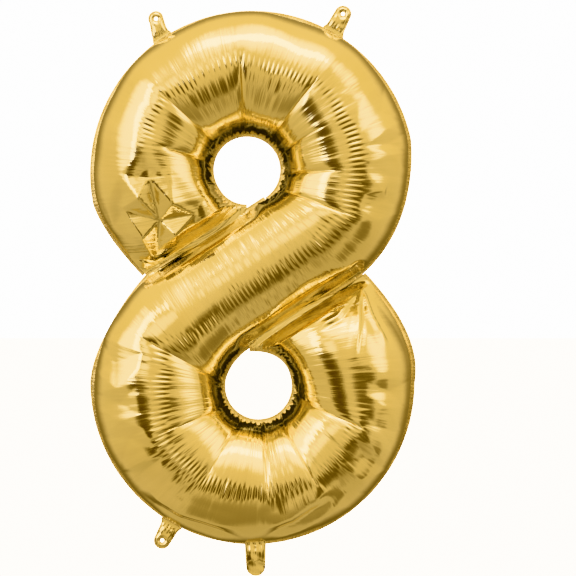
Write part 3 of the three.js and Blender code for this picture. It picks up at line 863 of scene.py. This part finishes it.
def add_neck():
    """The inflation neck: a short front ply, a longer rear ply with a round end, and two fused side edges."""
    place = rooted(LOWER, NECK["deg"], NECK_BEND / 2)
    foot, cut, length = -2.6, NECK["cut"], NECK["length"]

    def bulge(p, reach):
        """How far a ply stands off the middle plane: closed at its sides and its root, open towards the end."""
        share = np.abs(p[:, 0]) / neck_half(np.minimum(p[:, 1], cut))
        return reach * np.clip(1 - share**2, 0, 1) * smooth_step((p[:, 1] - 2) / 14)

    def folds(p):
        fan = np.sin(p[:, 0] * 0.62 + 0.6) * 0.55 + np.sin(p[:, 0] * 1.35 - 0.8 + 0.06 * p[:, 1]) * 0.3
        across = 0.28 * np.sin(p[:, 1] * 0.42 + 0.2 * p[:, 0]) * smooth_step((p[:, 1] - 12) / 10)
        return (fan * np.exp(-((p[:, 1] / 20) ** 2)) + across) * smooth_step((p[:, 1] + 1) / 6)

    def finish(obj, node_name):
        bend_at_root(obj, place, -1.8, 1.8)
        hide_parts(node_name)

    def ply(name, node_name, end_y, side):
        if end_y < length:
            xs = np.linspace(-1, 1, 30) * (neck_half(np.array([end_y]))[0] - 0.5)
            end = np.column_stack([xs, end_y + 0.9 * np.sin(xs * 0.5 + 1) + 0.4 * np.sin(xs * 1.3)])
            ys = np.linspace(foot, end_y - 0.5, 30)
            sides = neck_half(ys) - 0.5
            outline = np.concatenate([np.column_stack([-sides, ys]), end, np.column_stack([sides, ys])[::-1]])
        else:
            ys = foot + (length - foot) * np.sin(np.linspace(0, math.pi / 2, 60))
            sides = np.maximum(neck_half(ys), 0.02)
            outline = np.concatenate([np.column_stack([-sides, ys]), np.column_stack([sides, ys])[-2::-1]])
        outline = resample_loop(outline, 1.2)

        def faces_at(p):
            closed = smooth_step((neck_half(np.minimum(p[:, 1], length - 0.1)) - np.abs(p[:, 0])) / 3.0)
            stand = 0.22 + 0.55 * closed + bulge(p, 2.6 if side < 0 else 1.6)
            stand = stand + 0.5 * closed * smooth_step((1.4 - p[:, 1]) / 2.5)
            past = smooth_step((p[:, 1] - cut) / 10)
            lean = 2.2 * past if side > 0 else 0
            mid = side * (stand * (1 - 0.5 * past)) + folds(p) * closed * 0.7 + lean
            return mid - 0.13, mid + 0.13

        finish(plate_mesh(name, outline, None, faces_at, place, 1.2, (fine_gold,)), node_name)

    def edge(name, node_name, side):
        ys = np.linspace(foot, cut + NECK["edge"], 34)
        outer = np.column_stack([side * neck_half(ys), ys])
        inner = np.column_stack([side * (neck_half(ys) - NECK["edge"]), ys])
        outline = resample_loop(np.concatenate([outer, inner[::-1]]), 1.0)

        def faces_at(p):
            crimp = 0.16 * np.sin(p[:, 1] * 2.4 + side)
            return crimp - 0.2, crimp + 0.2

        finish(plate_mesh(name, outline, None, faces_at, place, 0.8, (seal_gold,)), node_name)

    ply("neck_front_skin", "neck_front_ply", cut, -1)
    ply("neck_rear_skin", "neck_rear_ply", length, 1)
    edge("neck_left_seal", "neck_left_edge_weld", -1)
    edge("neck_right_seal", "neck_right_edge_weld", 1)


# ---- Welds: crimped bands that follow the edges of the tube ----

WELDS = ["upper_outer_weld", "lower_left_outer_weld", "lower_right_outer_weld", "upper_hole_weld",
         "lower_hole_weld", "upper_waist_weld", "lower_waist_weld"]
BAND_ROWS = np.array([-1.2, 0.0, 1.2, 2.6, 4.0, 4.9])  # distances outwards from the edge of the tube
BAND_HALF = 0.26 * np.interp(BAND_ROWS, [0, 1.4, 4, 4.9], [3.3, 1.5, 1, 0.6])  # thick enough to meet both skins


def edge_paths():
    """The four sides of the tube as (points, outward directions), in millimetres."""
    right, left, _ = make_ribs(1300)
    t = np.linspace(0, 1, 90)[:, None]
    first, last = (right[k] * (1 - t) + left[k] * t for k in (0, -1))
    sides = [(right, left - right), (left, right - left), (first, right[2] + left[2] - right[0] - left[0]),
             (last, right[-3] + left[-3] - right[-1] - left[-1])]
    paths = []
    for path, inwards in sides:
        run = np.gradient(path, axis=0)
        size = np.maximum(np.linalg.norm(run, axis=1, keepdims=True), 1e-9)
        out = np.stack([run[:, 1], -run[:, 0]], -1) / size
        out *= -np.sign(np.sum(out * inwards, axis=1, keepdims=True))
        paths.append((path, out))
    return paths


def runs_of(node_name, paths):
    """The stretches of each path whose middle lies in a CAD weld."""
    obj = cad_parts[node_name]
    back = obj.matrix_world.inverted()
    found = []
    for path, out in paths:
        middle = path + 1.6 * out
        held = []
        for place in to_row(middle[:, 0], 0 * middle[:, 0], middle[:, 1]):
            point = back @ Vector(place)
            hit, near, _, _ = obj.closest_point_on_mesh(point)
            held.append(hit and (near - point).length < 0.0014)
        held = np.flatnonzero(np.diff(np.concatenate([[0], np.array(held, int), [0]])))
        found += [(path[a:b], out[a:b]) for a, b in zip(held[::2], held[1::2]) if b - a > 3]
    return found


def band_mesh(name, runs, seed):
    """A closed thin band along each run, crimped and gently waved, with a slightly uneven outer edge."""
    rng = np.random.default_rng(seed)
    vertices, faces, uvs = [], [], []
    for path, out in runs:
        length = run_length(path)
        count = max(6, int(length[-1] / 1.3))
        want = np.linspace(0, length[-1], count)
        path, out = (np.stack([np.interp(want, length, p[:, k]) for k in (0, 1)], -1) for p in (path, out))
        wide = BAND_ROWS + wander(rng, want, 6, -0.12, 0.1)[:, None] * (BAND_ROWS > 3)
        flat = path[:, None] + wide[..., None] * out[:, None]
        drift = np.cumsum(rng.uniform(-0.25, 0.25, count))
        crimp = np.sin(want * 1.15 + drift)[:, None] * (0.03 + 0.012 * BAND_ROWS)
        wave = 0.3 * np.sin(want / 9 + rng.uniform(0, 6))[:, None] * np.clip(BAND_ROWS / 5, 0, 1) ** 2
        index = len(vertices) + np.arange(wide.size).reshape(wide.shape)
        for half in (-BAND_HALF, BAND_HALF):
            vertices += to_row(flat[..., 0], crimp + wave + half, flat[..., 1]).reshape(-1, 3).tolist()
            uvs += np.stack([np.broadcast_to(want[:, None], wide.shape), wide], -1).reshape(-1, 2).tolist()
        top = grid_quads(index)
        border = np.concatenate([index[:, 0], index[-1, 1:], index[-2::-1, -1], index[0, -2:0:-1]])
        after = np.roll(border, -1)
        faces += top.tolist() + (top[:, ::-1] + wide.size).tolist()
        faces += np.stack([after, border, border + wide.size, after + wide.size], -1).tolist()
    mesh = new_mesh(name, vertices, faces)
    face_outwards(mesh)
    return film_object(name, mesh, np.array(uvs) / 1000)


def add_welds():
    """One band in place of each CAD weld."""
    paths = edge_paths()
    for seed, node_name in enumerate(WELDS):
        obj = band_mesh(node_name.replace("weld", "seam"), runs_of(node_name, paths), seed + 21)
        obj.data.materials.append(weld_gold)
        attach(obj, "inflated_body")
        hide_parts(node_name)


# ---- Stage, lights and camera ----

CENTRE = Vector((-HANG_HOLE[0], 0, -HANG_HOLE[1])) / 1000
VIEW = Vector((0.0552, 0, -0.0166)) + CENTRE  # what the middle of the picture looks at
FRAME_WIDTH, DISTANCE = 0.909, 3.2
FLOOR_DROP = 0.12
PAPER_GLOW = 6.0
SKY = [(-1.0, 0.6), (-0.55, 0.95), (-0.1, 1.15), (0.25, 1.15), (0.6, 1.15), (1.0, 1.1)]  # height, strength
SKY_TINT = (1.0, 0.77, 0.34)
SHADE_TINT = (1.0, 0.81, 0.4)
DARKEST = (0.03, 0.02, 0.01)
LOBES = [  # towards, full within, gone at, strength
    ((-0.9, -0.5, 0.3), 9, 28, 1.0),
    ((0.88, -0.5, 0.42), 8, 24, 0.9),
    ((0.05, -0.5, 0.87), 14, 36, 1.0),
    ((-0.35, -0.9, 0.3), 4, 13, 0.5),
    ((0.35, -0.8, -0.25), 8, 24, -0.62),
    ((-0.5, -0.85, -0.2), 6, 20, -0.68),
    ((0.0, -0.6, -0.8), 10, 30, -0.26),
    ((0.65, -0.3, -0.5), 6, 20, -0.4),
    ((0.0, 1.0, 0.0), 30, 66, -0.54),
]
FLAGS = [("upper_flag", UPPER, 205, 285, 5), ("lower_flag", LOWER, 60, 105, 6)]  # loop, narrow part, seed
FLAG_INNER, FLAG_OUTER = (2, 22), 55


def plain_material(name, color, roughness=0.8, glow=0.0):
    material, tree, shader, place = new_material(name)
    grain = noise(tree, place, 40.0, 2.0)
    plug(tree, shader, {
        "Base Color": (*color, 1), "Roughness": roughness, "Emission Color": (1, 1, 1, 1),
        "Emission Strength": glow, "Normal": bumps(tree, (0.05, 0.001, grain))})
    return material


def add_floor():
    bpy.ops.mesh.primitive_plane_add(size=40, location=(CENTRE.x, 0, CAD_BOX[0][2] - FLOOR_DROP))
    floor = bpy.context.object
    floor.name = "floor"
    floor.data.materials.append(plain_material("white_paper", (0.93, 0.93, 0.93), glow=PAPER_GLOW))
    floor.visible_glossy = floor.visible_diffuse = False


def add_flag(name, loop, narrow_from, narrow_to, seed):
    """A ragged black ring of card in a hole, narrow towards the waist. Only reflections see it: it darkens the
    walls of the hole, as a dark room would."""
    rng = np.random.default_rng(seed)
    count = 180
    angle = np.arange(count) * 2 * np.pi / count
    inner = rng.uniform(*FLAG_INNER, count) + 40 * np.repeat(rng.random(count // 3) < 0.14, 3)
    narrow = (angle > math.radians(narrow_from)) & (angle < math.radians(narrow_to))
    inner = np.where(narrow, FLAG_OUTER, inner)
    reach = np.concatenate([np.minimum(inner, FLAG_OUTER - 1), np.full(count, FLAG_OUTER)])
    angle = np.tile(angle, 2)
    rim = to_row(loop["hole"][0] + reach * np.cos(angle), 0 * angle, loop["hole"][1] + reach * np.sin(angle))
    sides = [(k, (k + 1) % count) for k in range(count)]
    flag = add_object(name, new_mesh(name, rim.tolist(), [(a, b, b + count, a + count) for a, b in sides]))
    flag.data.materials.append(plain_material(name + "_cloth", (0.02, 0.015, 0.01), 1.0))
    flag.visible_camera = flag.visible_diffuse = flag.visible_shadow = flag.visible_transmission = False


def area_light(name, location, size, power):
    """A rectangular light that faces the balloon."""
    data = bpy.data.lights.new(name, "AREA")
    data.shape = "RECTANGLE"
    data.size, data.size_y = size
    data.energy = power
    light = add_object(name, data)
    light.location = location
    light.rotation_euler = (CENTRE - Vector(location)).to_track_quat("-Z", "Y").to_euler()


def soft_lobe(tree, direction, towards, inner, outer, strength):
    """A soft-edged patch of light in the sky, full within inner degrees of its middle and gone at outer."""
    between = {0: direction, 1: Vector(towards).normalized()}
    dot = node(tree, "ShaderNodeVectorMath", between, operation="DOT_PRODUCT").outputs["Value"]
    gone, full = math.cos(math.radians(outer)), math.cos(math.radians(inner))
    inputs = {"Value": dot, "From Min": gone, "From Max": full, "To Min": 0.0, "To Max": strength}
    return node(tree, "ShaderNodeMapRange", inputs, interpolation_type="SMOOTHSTEP").outputs[0]


def vector_math(tree, operation, a, b):
    return node(tree, "ShaderNodeVectorMath", {0: a, 1: b}, operation=operation).outputs[0]


def build_world():
    """A warm sky with bright and dark patches for the film to mirror, and plain white for the camera."""
    world = bpy.data.worlds.new("studio")
    bpy.context.scene.world = world
    world.use_nodes = True
    tree = world.node_tree
    direction = node(tree, "ShaderNodeTexCoord").outputs["Generated"]
    height = node(tree, "ShaderNodeSeparateXYZ", {0: direction}).outputs["Z"]
    sky = node(tree, "ShaderNodeValToRGB", {"Fac": span(tree, height, 0.0, 1.0, -1.0, 1.0)})
    for k, (z, level) in enumerate(SKY):
        stop = sky.color_ramp.elements[k] if k < 2 else sky.color_ramp.elements.new(0.0)
        stop.position = (z + 1) / 2
        stop.color = (*(level * c for c in SKY_TINT), 1)
    total = sky.outputs["Color"]
    for towards, inner, outer, strength in LOBES:
        patch = soft_lobe(tree, direction, towards, inner, outer, strength)
        if strength < 0:
            patch = vector_math(tree, "MULTIPLY", patch, SHADE_TINT)
        total = vector_math(tree, "ADD", total, patch)
    total = vector_math(tree, "MAXIMUM", total, DARKEST)
    seen = node(tree, "ShaderNodeLightPath").outputs["Is Camera Ray"]
    inputs = {"Factor": seen, "A": total, "B": (PAPER_GLOW,) * 3}
    color = node(tree, "ShaderNodeMix", inputs, data_type="VECTOR")
    tree.links.new(color.outputs["Result"], tree.nodes["Background"].inputs["Color"])


def add_camera():
    data = bpy.data.cameras.new("camera")
    data.sensor_width = 36
    data.lens = data.sensor_width * DISTANCE / FRAME_WIDTH
    data.clip_end = 100
    camera = add_object("camera", data)
    camera.location = VIEW + Vector((0, -DISTANCE, 0))
    camera.rotation_euler = (math.radians(90), 0, 0)
    bpy.context.scene.camera = camera


# ---- Assembly ----

add_floor()
for flag in FLAGS:
    add_flag(*flag)
build_world()
area_light("key_left", (-2.2, -2.2, 0.5), (0.7, 2.0), 10)
area_light("top", (CENTRE.x, -1.2, 1.7), (1.8, 0.6), 9)
add_camera()
bpy.context.scene.view_settings.view_transform = "Khronos PBR Neutral"

gold = gold_film("gold_film")
fine_gold = gold_film("fine_gold_film", crimp=0.3, roughness=(0.1, 0.18))
seal_gold = seal_film("gold_seal")
weld_gold = seal_film("gold_weld", 0.0008, 0.0003)
clear = clear_film("valve_film")
for side, name, node_name, seed in ((-1, "front_skin", "front_foil_panel", 3),
                                    (1, "rear_skin", "rear_foil_panel", 8)):
    skin, flat_area = skin_mesh(name, side, seed)
    skin.data.materials.append(gold)
    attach(skin, "inflated_body")
    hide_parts(node_name)
add_tab("top_left_tongue", "top_left_hang_tab", UPPER, 123.7, 16, 27, 42, 11)
add_tab("top_right_tongue", "top_right_hang_tab", UPPER, 60.1, -2, 29, 45, 12)
add_tab("bottom_left_tongue", "bottom_left_hang_tab", LOWER, 240.2, -1, 29, 44, 13)
add_neck()
add_welds()
for node_name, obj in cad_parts.items():
    if node_name.startswith("valve"):
        for slot in obj.material_slots:
            slot.material = clear
